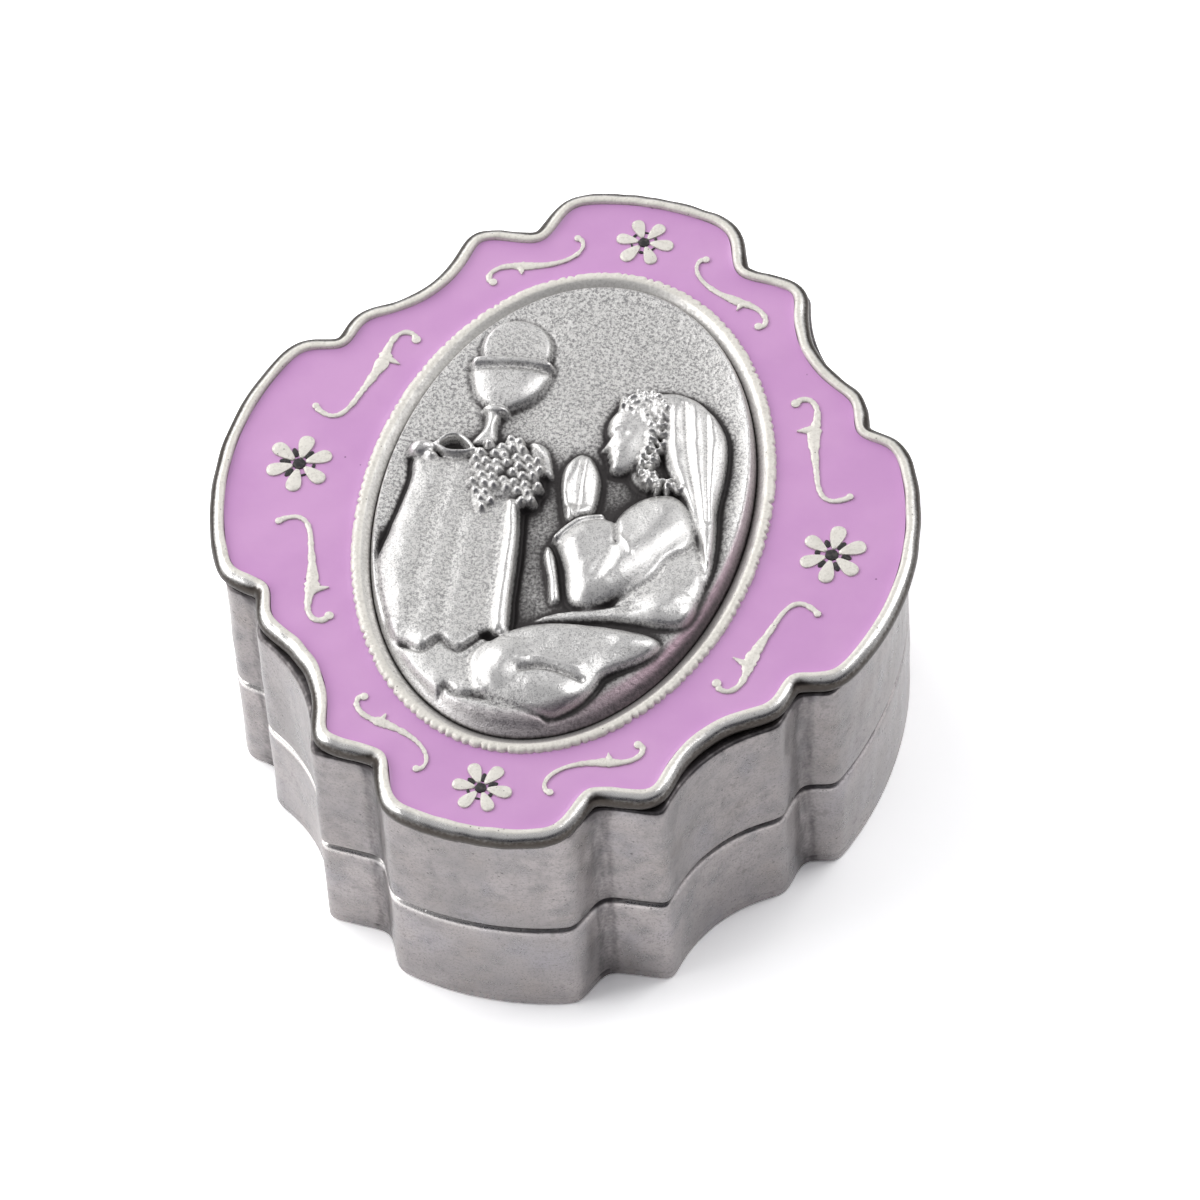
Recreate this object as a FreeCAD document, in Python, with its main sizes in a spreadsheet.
import FreeCAD, Part
import math
import os

# A small keepsake box of plated metal with a hinged, enamelled lid.
# The origin is the centre of the underside. +Z is up, +Y is the back, where the hinge is.
# Lengths are millimetres.

DIMENSIONS = {
    # outline of the lid, at the edge of the enamel
    "enamel_half_length": 29.0,
    "enamel_half_width": 25.45,
    "outline_corner_radius": 0.8,
    "outline_valley_radius": 1.5,
    # walls, which stand a little inside the rim
    "wall_inset": 0.1,
    "wall_corner_radius": 1.3,
    "wall_valley_radius": 1.6,
    "wall_thickness": 1.0,
    "floor_thickness": 1.0,
    "base_height": 10.0,
    "seam_gap": 0.1,
    "lid_wall_height": 11.9,
    # collar inside the base, which guides the lid
    "collar_clearance": 0.2,
    "collar_thickness": 0.6,
    "collar_rise": 1.5,
    # top plate of the lid
    "rim_width": 1.0,
    "rim_thickness": 1.7,
    "plug_depth": 0.6,
    "plug_clearance": 0.1,
    "enamel_drop": 0.4,
    "enamel_thickness": 0.5,
    "enamel_clearance": 0.03,
    "ornament_rise": 0.12,
    # flowers and scrolls left standing in the enamel
    "end_flower_radius": 2.2,
    "side_flower_radius": 2.5,
    "flower_eye_radius": 0.42,
    "scroll_half_width": 0.34,
    # oval medallion and its bezel, inside a field of enamel of these widths
    "end_field_width": 6.7,
    "side_field_width": 10.15,
    "bezel_width": 1.3,
    "bezel_rise": 0.4,
    "bezel_bevel": 0.8,
    "seat_depth": 0.4,
    "seat_clearance": 0.05,
    "medallion_gap": 0.15,
    "medallion_thickness": 1.7,
    "medallion_slope": 0.8,
    "relief_height": 1.5,
    # hinge at the back
    "hinge_length": 9.0,
    "leaf_thickness": 0.5,
    "leaf_height": 3.6,
    "leaf_clearance": 0.05,
    "knuckle_radius": 0.85,
    "knuckle_gap": 0.12,
    "hinge_clearance": 0.1,
    "pin_radius": 0.4,
    "pin_clearance": 0.03,
    "pin_end": 0.25,
    # every cut runs past the face that it opens by this much
    "overrun": 2.0,
}

# Corners of one quarter of the outline, as shares of its half width and half length.
# They run from the end lobe, over a ledge and along the hollow waist, to the side lobe.
LID_CORNER_SHARES = (
    (0.242, 0.964),
    (0.293, 0.819),
    (0.489, 0.809),
    (0.556, 0.612),
    (0.745, 0.490),
    (0.768, 0.378),
    (0.894, 0.364),
)
WALL_CORNER_SHARES = (
    (0.276, 0.962),
    (0.329, 0.853),
    (0.527, 0.843),
    (0.612, 0.645),
    (0.783, 0.522),
    (0.807, 0.410),
    (0.907, 0.396),
)

# One petal as shares of its flower's radius: distance from the middle and half width.
PETAL_SHARES = ((0.33, 0.06), (0.55, 0.19), (0.80, 0.22), (1.0, 0.09))

# Spines of the two scrolls of one quarter, from the thin hook to the curl.
END_SCROLL_SHARES = (
    (0.200, 0.866),
    (0.173, 0.846),
    (0.177, 0.815),
    (0.240, 0.770),
    (0.335, 0.742),
    (0.410, 0.722),
    (0.424, 0.692),
    (0.402, 0.672),
)
SIDE_SCROLL_SHARES = (
    (0.808, 0.190),
    (0.768, 0.168),
    (0.725, 0.182),
    (0.686, 0.250),
    (0.652, 0.362),
    (0.634, 0.448),
    (0.596, 0.470),
    (0.566, 0.448),
)

# Half width of a scroll at each point of its spine, as shares of its widest half width.
SCROLL_WIDTH_SHARES = (0.55, 0.38, 0.42, 0.55, 1.0, 0.62, 0.55, 0.75)

# The tip of the leaf that grows out of each scroll where it is widest.
END_LEAF_SHARES = (0.328, 0.714)
SIDE_LEAF_SHARES = (0.605, 0.360)

# Outlines of the raised masses of the relief, in shares of the medallion's half width and
# half length, each with its height as a share of the relief's height.
RELIEF_SHARES = {
    "cup_bowl": (0.75, (
        (-0.715, 0.590), (-0.295, 0.605), (-0.310, 0.530), (-0.380, 0.440),
        (-0.475, 0.400), (-0.600, 0.400), (-0.685, 0.470),
    )),
    "cup_stem": (0.50, (
        (-0.590, 0.405), (-0.465, 0.405), (-0.495, 0.350), (-0.460, 0.220),
        (-0.595, 0.220), (-0.560, 0.350),
    )),
    "table": (0.60, (
        (-0.820, 0.160), (-0.360, 0.170), (-0.230, -0.020), (-0.140, -0.550),
        (-0.320, -0.670), (-0.690, -0.660), (-0.880, -0.455), (-0.870, -0.140),
    )),
    "table_posy": (0.72, (
        (-0.865, 0.195), (-0.760, 0.240), (-0.635, 0.215), (-0.540, 0.187),
        (-0.620, 0.150), (-0.840, 0.145),
    )),
    "grape_bunch": (0.92, (
        (-0.505, 0.040), (-0.450, 0.180), (-0.350, 0.230), (-0.190, 0.190),
        (-0.150, 0.070), (-0.190, -0.030), (-0.320, 0.000), (-0.435, -0.077),
        (-0.505, -0.030),
    )),
    "veil_top": (0.82, (
        (0.220, 0.540), (0.350, 0.605), (0.560, 0.585), (0.735, 0.445),
        (0.765, 0.240), (0.620, 0.105), (0.455, 0.163), (0.405, 0.335),
        (0.330, 0.460),
    )),
    "veil_fall": (0.62, (
        (0.590, 0.215), (0.780, 0.265), (0.865, 0.000), (0.825, -0.240),
        (0.710, -0.290), (0.650, -0.095),
    )),
    "torso": (0.95, (
        (0.360, 0.155), (0.550, 0.170), (0.670, 0.050), (0.710, -0.190),
        (0.695, -0.385), (0.535, -0.410), (0.405, -0.240), (0.330, -0.050),
    )),
    "sleeve": (1.00, (
        (0.245, 0.040), (0.375, -0.020), (0.535, -0.155), (0.450, -0.305),
        (0.275, -0.410), (0.115, -0.395), (0.045, -0.240), (0.070, -0.105),
        (0.160, -0.010),
    )),
    "hands": (0.70, (
        (-0.045, 0.165), (0.015, 0.235), (0.085, 0.240), (0.145, 0.145),
        (0.115, 0.030), (0.030, -0.050), (-0.035, 0.040),
    )),
    "thigh": (0.76, (
        (-0.070, -0.480), (0.215, -0.430), (0.580, -0.335), (0.765, -0.305),
        (0.720, -0.430), (0.620, -0.545), (0.145, -0.555), (-0.170, -0.585),
    )),
    "lap": (0.90, (
        (-0.230, -0.635), (-0.070, -0.555), (0.290, -0.500), (0.635, -0.490),
        (0.605, -0.605), (0.405, -0.740), (0.215, -0.775), (-0.045, -0.785),
        (-0.215, -0.740),
    )),
    "knees": (0.98, (
        (-0.200, -0.700), (0.015, -0.670), (0.290, -0.700), (0.390, -0.795),
        (0.260, -0.875), (0.030, -0.890), (-0.160, -0.835),
    )),
    "cushion": (0.55, (
        (-0.665, -0.730), (-0.390, -0.760), (-0.190, -0.815), (0.045, -0.880),
        (-0.100, -0.940), (-0.390, -0.900), (-0.590, -0.815),
    )),
}

# Round masses: height, centre, half width and half length in the same shares.
ROUND_RELIEF_SHARES = {
    "host": (0.38, (-0.500, 0.690), (0.178, 0.118)),
    "head": (0.90, (0.245, 0.360), (0.140, 0.155)),
}
ROUND_SIDES = 12

# The whole relief sits a little to the right of the plate's middle and below it.
RELIEF_SHIFT_SHARES = (0.02, -0.045)

# Each mass swells from its outline to a smaller top: scale and level, as shares.
SWELL_SHARES = ((1.0, 0.0), (0.90, 0.60), (0.55, 1.0))

# The rim is a bead: its edges are bevelled by this share of its width.
RIM_BEVEL_SHARE = 0.36

QUARTERS = ((1, 1), (1, -1), (-1, -1), (-1, 1))
PETALS = 6
KNUCKLES = 3
ACROSS = FreeCAD.Vector(1, 0, 0)
ALONG = FreeCAD.Vector(0, 1, 0)
UP = FreeCAD.Vector(0, 0, 1)

doc = FreeCAD.newDocument("keepsake_box")
sheet = doc.addObject("Spreadsheet::Sheet", "sizes")
nodes = []


def fill_sheet():
    """Write each driving dimension in the sheet, with its name as the alias."""
    for row, (name, value) in enumerate(DIMENSIONS.items(), start=1):
        sheet.set(f"A{row}", name)
        sheet.set(f"B{row}", str(value))
        sheet.setAlias(f"B{row}", name)
    doc.recompute()


def size(name):
    """Give the number in a named cell."""
    return float(sheet.get(name))


def bind(target, **expressions):
    """Tie properties of an object to the sheet. A name's double underscore stands for a dot."""
    for name, text in expressions.items():
        target.setExpression(name.replace("__", "."), formula(text))


def formula(text):
    """Put the sheet's name before each dimension in an expression."""
    words = text.replace("(", " ( ").replace(")", " ) ").split()
    return " ".join(f"sizes.{word}" if word in DIMENSIONS else word for word in words)


def add_node(item, name):
    """Name a finished piece and keep it for export."""
    item.Label = name
    nodes.append(item)
    return item


# Heights that several pieces share, as expressions

SEAM = "base_height + seam_gap"
RIM_BOTTOM = f"{SEAM} + lid_wall_height"
RIM_TOP = f"{RIM_BOTTOM} + rim_thickness"
ENAMEL_TOP = f"{RIM_TOP} - enamel_drop"
RECESS_FLOOR = f"{ENAMEL_TOP} - enamel_thickness"
SEAT_FLOOR = f"{RECESS_FLOOR} - seat_depth"
FLOWER_END_REACH = "( enamel_half_length - end_field_width / 2 )"
FLOWER_SIDE_REACH = "( enamel_half_width - side_field_width / 2 )"
WALL_BACK = "enamel_half_length - wall_inset"
LEAF_BACK = f"{WALL_BACK} - leaf_thickness"
HINGE_AXIS = f"{LEAF_BACK} + knuckle_radius + hinge_clearance"
KNUCKLE_LENGTH = f"( hinge_length - {KNUCKLES - 1} * knuckle_gap ) / {KNUCKLES}"
LEAF_START = "knuckle_radius + hinge_clearance + knuckle_gap"


# Outlines

def share_point(shares, half_width, half_length, quarter=(1, 1)):
    """Place a point given in shares in one quarter of the plan."""
    return FreeCAD.Vector(
        quarter[0] * shares[0] * half_width,
        quarter[1] * shares[1] * half_length,
        0,
    )


def arc(start, middle, end):
    """Make an arc edge through three points."""
    return Part.Arc(start, middle, end).toShape()


def line(start, end):
    """Make a straight edge."""
    return Part.LineSegment(start, end).toShape()


def cartouche(corner_shares, half_width, half_length, corner_radius, valley_radius):
    """Make the closed outline of lobes, ledges and hollow waists, with its corners rounded."""
    edges = []
    lobes = {}
    for quarter in QUARTERS:
        shoulder, valley, ledge, waist, side_ledge, side_valley, side_shoulder = (
            share_point(shares, half_width, half_length, quarter) for shares in corner_shares
        )
        edges += [
            line(shoulder, valley),
            line(valley, ledge),
            arc(ledge, waist, side_ledge),
            line(side_ledge, side_valley),
            line(side_valley, side_shoulder),
        ]
        lobes.setdefault(("end", quarter[1]), []).append(shoulder)
        lobes.setdefault(("side", quarter[0]), []).append(side_shoulder)
    for (kind, sign), (first, last) in lobes.items():
        tip = (0, sign * half_length) if kind == "end" else (sign * half_width, 0)
        edges.append(arc(first, FreeCAD.Vector(*tip, 0), last))
    sharp = Part.Wire(Part.__sortEdges__(edges))
    eased = sharp.makeOffset2D(-corner_radius).makeOffset2D(corner_radius + valley_radius)
    return eased.makeOffset2D(-valley_radius)


def enamel_outline():
    """Make the outline of the enamelled field."""
    return cartouche(
        LID_CORNER_SHARES,
        size("enamel_half_width"),
        size("enamel_half_length"),
        size("outline_corner_radius"),
        size("outline_valley_radius"),
    )


def wall_outline():
    """Make the outer outline of the walls of base and lid."""
    return cartouche(
        WALL_CORNER_SHARES,
        size("enamel_half_width") - size("wall_inset"),
        size("enamel_half_length") - size("wall_inset"),
        size("wall_corner_radius"),
        size("wall_valley_radius"),
    )


def bezel_oval(change):
    """Make the bezel's outer oval, made larger or smaller by a change."""
    half_width = size("enamel_half_width") - size("side_field_width") + change
    half_length = size("enamel_half_length") - size("end_field_width") + change
    return Part.Ellipse(ALONG * half_length, ACROSS * half_width, FreeCAD.Vector())


def polygon(points):
    """Make a closed wire of straight edges."""
    return Part.makePolygon(points + points[:1])


def scroll_outline(spine_shares, leaf_shares):
    """Make the outline of a scroll of the first quarter, with a leaf at its widest point."""
    half_width = size("enamel_half_width")
    half_length = size("enamel_half_length")
    spine = [share_point(shares, half_width, half_length) for shares in spine_shares]
    leaf = share_point(leaf_shares, half_width, half_length)
    widest = max(SCROLL_WIDTH_SHARES)
    sides = ([], [])
    for number, point in enumerate(spine):
        ahead = spine[min(number + 1, len(spine) - 1)] - spine[max(number - 1, 0)]
        normal = UP.cross(ahead).normalize()
        width_share = SCROLL_WIDTH_SHARES[number]
        reach = size("scroll_half_width") * width_share
        for side, sign in zip(sides, (1, -1)):
            tip = width_share == widest and (leaf - point).dot(normal) * sign > 0
            side.append(leaf if tip else point + normal * (sign * reach))
    return polygon(sides[0] + sides[1][::-1])


def petal_outline(centre, radius, turn):
    """Make the outline of one petal, turned about its flower's centre."""
    turning = FreeCAD.Rotation(UP, turn)
    sides = ([], [])
    for along, half in PETAL_SHARES:
        for side, sign in zip(sides, (1, -1)):
            side.append(centre + turning.multVec(FreeCAD.Vector(sign * half * radius, along * radius, 0)))
    return polygon(sides[0] + sides[1][::-1])


def in_quarter(wire, quarter):
    """Mirror a wire of the first quarter into another one."""
    for sign, normal in zip(quarter, (ACROSS, ALONG)):
        if sign < 0:
            wire = wire.mirror(FreeCAD.Vector(), normal)
    return wire


def flower_places():
    """Give each flower's centre, its radius and the turn of its first petal."""
    half_turn = 180.0 / PETALS
    end_reach = size("enamel_half_length") - size("end_field_width") / 2
    side_reach = size("enamel_half_width") - size("side_field_width") / 2
    for sign in (1, -1):
        yield FreeCAD.Vector(0, sign * end_reach, 0), size("end_flower_radius"), half_turn
        yield FreeCAD.Vector(sign * side_reach, 0, 0), size("side_flower_radius"), 0.0


def ornament(clearance):
    """Give the curves of every petal and scroll, widened by a clearance with mitred corners."""
    wires = [
        petal_outline(centre, radius, first + petal * 360.0 / PETALS)
        for centre, radius, first in flower_places()
        for petal in range(PETALS)
    ]
    for spine, leaf in (
        (END_SCROLL_SHARES, END_LEAF_SHARES),
        (SIDE_SCROLL_SHARES, SIDE_LEAF_SHARES),
    ):
        scroll = scroll_outline(spine, leaf)
        wires += [in_quarter(scroll, quarter) for quarter in QUARTERS]
    if clearance:
        wires = [wire.makeOffset2D(clearance, join=2) for wire in wires]
    return [curve for wire in wires for curve in outline_curves(wire)]


def outline_curves(wire):
    """Turn a wire of lines and arcs into sketch curves, with every arc anticlockwise."""
    curves = []
    for edge in wire.Edges:
        start, end = edge.Vertexes[0].Point, edge.Vertexes[-1].Point
        if isinstance(edge.Curve, Part.Line):
            curves.append(Part.LineSegment(start, end))
            continue
        first, last = edge.ParameterRange
        middle = edge.valueAt((first + last) / 2)
        if (middle - start).cross(end - middle).z < 0:
            start, end = end, start
        curves.append(Part.Arc(start, middle, end))
    return curves


# Features

def new_body(name):
    """Start a piece."""
    return add_node(doc.addObject("PartDesign::Body", name), name)


def new_sketch(body, name, height, curves):
    """Draw curves on a level plane of a body, at a height given as an expression."""
    sketch = body.newObject("Sketcher::SketchObject", name)
    plane = next(item for item in body.Origin.OriginFeatures if item.Role == "XY_Plane")
    sketch.AttachmentSupport = [(plane, "")]
    sketch.MapMode = "FlatFace"
    bind(sketch, AttachmentOffset__Base__z=height)
    sketch.addGeometry(curves, False)
    return sketch


def pad(body, name, height, curves, length, downward=False):
    """Raise a sketch by a length given as an expression."""
    feature = body.newObject("PartDesign::Pad", name)
    feature.Profile = new_sketch(body, f"{name}_sketch", height, curves)
    feature.Reversed = downward
    bind(feature, Length=length)
    doc.recompute()
    return feature


def pocket(body, name, height, curves, length):
    """Cut a sketch downward by a length, and check that it removes material."""
    before = body.Shape.Volume
    feature = body.newObject("PartDesign::Pocket", name)
    feature.Profile = new_sketch(body, f"{name}_sketch", height, curves)
    bind(feature, Length=length)
    doc.recompute()
    if not body.Shape.Volume < before:
        raise RuntimeError(f"{name} cuts nothing")
    return feature


def level_edges(shape, height):
    """Name the edges of a shape that lie at one height."""
    return [
        f"Edge{number}"
        for number, edge in enumerate(shape.Edges, start=1)
        if math.isclose(edge.BoundBox.ZMin, height) and math.isclose(edge.BoundBox.ZMax, height)
    ]


def standing_edges(shape, height, rise):
    """Name the edges at one height that carry a face whose middle is at least a rise above them."""
    return [
        name
        for name in level_edges(shape, height)
        if any(
            face.CenterOfMass.z > height + rise
            for face in shape.ancestorsOfType(shape.getElement(name), Part.Face)
        )
    ]


def primitive(kind, name, place, **expressions):
    """Make a plain solid at a place given as three expressions."""
    solid = doc.addObject(kind, name)
    bind(solid, Placement__Base__x=place[0], Placement__Base__y=place[1])
    bind(solid, Placement__Base__z=place[2], **expressions)
    return solid


def block(name, x_range, y_range, z_range):
    """Make a box from the expressions of its lower and upper faces."""
    ranges = (x_range, y_range, z_range)
    spans = [f"( {upper} ) - ( {lower} )" for lower, upper in ranges]
    lows = [lower for lower, upper in ranges]
    return primitive("Part::Box", name, lows, Length=spans[0], Width=spans[1], Height=spans[2])


def cross_cylinder(name, start, length, radius):
    """Make a cylinder along X on the hinge's axis, from a start given as an expression."""
    solid = doc.addObject("Part::Cylinder", name)
    solid.Placement.Rotation = FreeCAD.Rotation(ALONG, 90)
    bind(solid, Placement__Base__x=start, Placement__Base__y=HINGE_AXIS)
    bind(solid, Placement__Base__z="base_height", Radius=radius, Height=length)
    return solid


def fuse(name, shapes):
    """Join solids into one."""
    joined = doc.addObject("Part::MultiFuse", name)
    joined.Shapes = shapes
    joined.Refine = True
    return joined


def cut(name, base, tool):
    """Take one solid out of another."""
    result = doc.addObject("Part::Cut", name)
    result.Base = base
    result.Tool = tool
    return result


# Pieces of the base

def build_base_floor():
    """The plate that the box stands on."""
    body = new_body("base_floor")
    pad(body, "floor_plate", "0", outline_curves(wall_outline()), "floor_thickness")


def wall_ring(outer_offset, thickness):
    """Give the curves of a ring that follows the walls' outline."""
    outer = wall_outline()
    if outer_offset:
        outer = outer.makeOffset2D(-outer_offset)
    inner = outer.makeOffset2D(-thickness)
    return outline_curves(outer) + outline_curves(inner)


def hinge_recess(name, z_range):
    """Make the block that cuts a flat for a hinge leaf into the back of a wall."""
    half = "hinge_length / 2 + leaf_clearance"
    return block(name, (f"0 - ( {half} )", half), (LEAF_BACK, f"{WALL_BACK} + overrun"), z_range)


def build_base_wall_band():
    """The band of wall that stands on the floor up to the seam."""
    body = doc.addObject("PartDesign::Body", "base_band")
    curves = wall_ring(0, size("wall_thickness"))
    pad(body, "base_ring", "floor_thickness", curves, "base_height - floor_thickness")
    lower = f"base_height - ( {LEAF_START} ) - leaf_height - leaf_clearance"
    recess = hinge_recess("base_recess", (lower, "base_height + overrun"))
    add_node(cut("base_wall_band", body, recess), "base_wall_band")


def build_base_collar():
    """The thin collar inside the base, which rises into the closed lid."""
    body = new_body("base_collar")
    inset = size("wall_thickness") + size("collar_clearance")
    curves = wall_ring(inset, size("collar_thickness"))
    pad(body, "collar_ring", "floor_thickness", curves, "base_height + collar_rise - floor_thickness")


# Pieces of the lid

def build_lid_wall_band():
    """The band of wall under the lid's top plate."""
    body = doc.addObject("PartDesign::Body", "lid_band")
    pad(body, "lid_ring", SEAM, wall_ring(0, size("wall_thickness")), "lid_wall_height")
    upper = f"base_height + ( {LEAF_START} ) + leaf_height + leaf_clearance"
    recess = hinge_recess("lid_recess", (f"{SEAM} - overrun", upper))
    add_node(cut("lid_wall_band", body, recess), "lid_wall_band")


def build_lid_top_plate():
    """The cast top plate: rim bead, plug, enamel recess, oval seat and standing ornament."""
    body = new_body("lid_top_plate")
    rim = enamel_outline().makeOffset2D(size("rim_width"))
    pad(body, "rim_plate", RIM_BOTTOM, outline_curves(rim), "rim_thickness")
    plug = wall_outline().makeOffset2D(-size("wall_thickness") - size("plug_clearance"))
    pad(body, "plug", RIM_BOTTOM, outline_curves(plug), "plug_depth", downward=True)
    recess = outline_curves(enamel_outline())
    pocket(body, "enamel_recess", RIM_TOP, recess, "enamel_drop + enamel_thickness")
    seat = bezel_oval(size("seat_clearance"))
    seated = pocket(body, "oval_seat", RECESS_FLOOR, [seat], "seat_depth")
    box = seated.Shape.BoundBox
    rim_bottom = box.ZMin + size("plug_depth")
    edges = level_edges(seated.Shape, box.ZMax)
    edges += standing_edges(seated.Shape, rim_bottom, size("rim_thickness") / 4)
    bead = body.newObject("PartDesign::Chamfer", "rim_bead")
    bead.Base = (seated, edges)
    bind(bead, Size=f"rim_width * {RIM_BEVEL_SHARE}")
    doc.recompute()
    pad(body, "ornament", RECESS_FLOOR, ornament(0), "enamel_thickness + ornament_rise")


def build_enamel_field():
    """The field of enamel that fills the recess round the ornament and the bezel."""
    body = new_body("enamel_field")
    clearance = size("enamel_clearance")
    curves = outline_curves(enamel_outline().makeOffset2D(-clearance))
    curves.append(bezel_oval(clearance))
    curves += ornament(clearance)
    for centre, _, _ in flower_places():
        curves.append(Part.Circle(centre, UP, size("flower_eye_radius") + clearance))
    pad(body, "enamel_sheet", RECESS_FLOOR, curves, "enamel_thickness")


def build_flower_eyes():
    """The dark drop of enamel in the middle of each flower."""
    places = (
        ("0", FLOWER_END_REACH),
        ("0", f"0 - {FLOWER_END_REACH}"),
        (FLOWER_SIDE_REACH, "0"),
        (f"0 - {FLOWER_SIDE_REACH}", "0"),
    )
    drops = [
        primitive(
            "Part::Cylinder",
            f"eye_{number}",
            (*place, RECESS_FLOOR),
            Radius="flower_eye_radius",
            Height="enamel_thickness",
        )
        for number, place in enumerate(places, start=1)
    ]
    group = doc.addObject("Part::Compound", "flower_eyes")
    group.Links = drops
    add_node(group, "flower_eyes")


def build_medallion_bezel():
    """The oval frame that holds the medallion, bevelled towards it."""
    body = new_body("medallion_bezel")
    outer = bezel_oval(0)
    inner = bezel_oval(-size("bezel_width"))
    height = "seat_depth + enamel_thickness + bezel_rise"
    ring = pad(body, "bezel_ring", SEAT_FLOOR, [outer, inner], height)
    top = ring.Shape.BoundBox.ZMax
    edges = level_edges(ring.Shape, top)
    lengths = {name: ring.Shape.getElement(name).Length for name in edges}
    bevel = body.newObject("PartDesign::Chamfer", "bezel_bevel_cut")
    bevel.Base = (ring, [min(lengths, key=lengths.get)])
    bind(bevel, Size="bezel_bevel")
    doc.recompute()


def swelling(points, ground, height):
    """Make a raised mass that starts inside the plate and swells up to a smaller top."""
    middle = sum(points, FreeCAD.Vector()) / len(points)
    sunk = UP * (ground - size("medallion_thickness") / 2)
    sections = [polygon([point + sunk for point in points])]
    for scale, level in SWELL_SHARES:
        lift = UP * (ground + level * height)
        sections.append(polygon([middle + (point - middle) * scale + lift for point in points]))
    return Part.makeLoft(sections, True, True)


def build_medallion():
    """The oval plate with the main masses of its relief, trimmed to the plate's outline."""
    plate_oval = bezel_oval(-size("bezel_width") - size("medallion_gap"))
    plate = doc.addObject("PartDesign::Body", "medallion_blank")
    blank = pad(plate, "medallion_plate", SEAT_FLOOR, [plate_oval], "medallion_thickness")
    slope = plate.newObject("PartDesign::Chamfer", "medallion_edge")
    slope.Base = (blank, level_edges(blank.Shape, blank.Shape.BoundBox.ZMax))
    bind(slope, Size="medallion_slope")
    doc.recompute()
    ground_oval = bezel_oval(-size("bezel_width") - size("medallion_gap") - size("medallion_slope"))
    half_length, half_width = ground_oval.MajorRadius, ground_oval.MinorRadius
    limit = doc.addObject("PartDesign::Body", "relief_limit")
    pad(limit, "relief_space", SEAT_FLOOR, [ground_oval], "medallion_thickness + relief_height + overrun")
    ground = plate.Shape.BoundBox.ZMax
    outlines = dict(RELIEF_SHARES)
    turns = [math.tau * side / ROUND_SIDES for side in range(ROUND_SIDES)]
    for name, (height, (across, along), (half_across, half_along)) in ROUND_RELIEF_SHARES.items():
        outlines[name] = (height, [
            (across + half_across * math.cos(turn), along + half_along * math.sin(turn))
            for turn in turns
        ])
    shift = share_point(RELIEF_SHIFT_SHARES, half_width, half_length)
    masses = []
    for name, (height, corners) in outlines.items():
        points = [share_point(shares, half_width, half_length) + shift for shares in corners]
        mass = doc.addObject("Part::Feature", name)
        mass.Shape = swelling(points, ground, height * size("relief_height"))
        masses.append(mass)
    trimmed = doc.addObject("Part::MultiCommon", "trimmed_relief")
    trimmed.Shapes = [fuse("relief_masses", masses), limit]
    add_node(fuse("medallion", [plate, trimmed]), "medallion")


# Pieces of the hinge

def knuckle_start(number):
    """Give the expression for the left end of one knuckle."""
    return f"0 - hinge_length / 2 + {number} * ( {KNUCKLE_LENGTH} + knuckle_gap )"


def build_hinge_leaf(name, numbers, upward):
    """One leaf of the hinge with its knuckles, lying in the flat on the wall."""
    if upward:
        plate_range = (f"base_height + {LEAF_START}", f"base_height + {LEAF_START} + leaf_height")
        neck_range = ("base_height", plate_range[1])
    else:
        plate_range = (f"base_height - ( {LEAF_START} ) - leaf_height", f"base_height - ( {LEAF_START} )")
        neck_range = (plate_range[0], "base_height")
    depth = (LEAF_BACK, WALL_BACK)
    solids = [block(f"{name}_plate", ("0 - hinge_length / 2", "hinge_length / 2"), depth, plate_range)]
    for number in numbers:
        start = knuckle_start(number)
        ends = (start, f"{start} + {KNUCKLE_LENGTH}")
        neck_depth = (f"{LEAF_BACK} + hinge_clearance", WALL_BACK)
        solids.append(block(f"{name}_neck_{number}", ends, neck_depth, neck_range))
        solids.append(
            cross_cylinder(f"{name}_knuckle_{number}", start, KNUCKLE_LENGTH, "knuckle_radius")
        )
    bore = cross_cylinder(
        f"{name}_bore",
        "0 - hinge_length / 2 - overrun",
        "hinge_length + 2 * overrun",
        "pin_radius + pin_clearance",
    )
    add_node(cut(name, fuse(f"{name}_solid", solids), bore), name)


def build_hinge_pin():
    """The wire pin, a little longer than the knuckles."""
    pin = cross_cylinder(
        "hinge_pin",
        "0 - hinge_length / 2 - pin_end",
        "hinge_length + 2 * pin_end",
        "pin_radius",
    )
    add_node(pin, "hinge_pin")


def export_nodes():
    """Check every object and piece, then write each piece to its own file."""
    doc.recompute()
    failed = [item.Name for item in doc.Objects if {"Invalid", "Error"} & set(item.State)]
    if failed:
        raise RuntimeError(f"failed objects: {failed}")
    for node in nodes:
        if node.Shape.isNull() or not node.Shape.isValid() or not node.Shape.Solids:
            raise RuntimeError(f"{node.Label} is not a sound solid")
    os.makedirs("parts", exist_ok=True)
    for node in nodes:
        node.Shape.exportStep(f"parts/{node.Label}.step")
        print(node.Label, len(node.Shape.Solids), round(node.Shape.Volume, 3))


def main():
    """Build the box."""
    fill_sheet()
    build_base_floor()
    build_base_wall_band()
    build_base_collar()
    build_lid_wall_band()
    build_lid_top_plate()
    build_enamel_field()
    build_flower_eyes()
    build_medallion_bezel()
    build_medallion()
    build_hinge_leaf("hinge_base_leaf", (0, 2), upward=False)
    build_hinge_leaf("hinge_lid_leaf", (1,), upward=True)
    build_hinge_pin()
    export_nodes()


main()
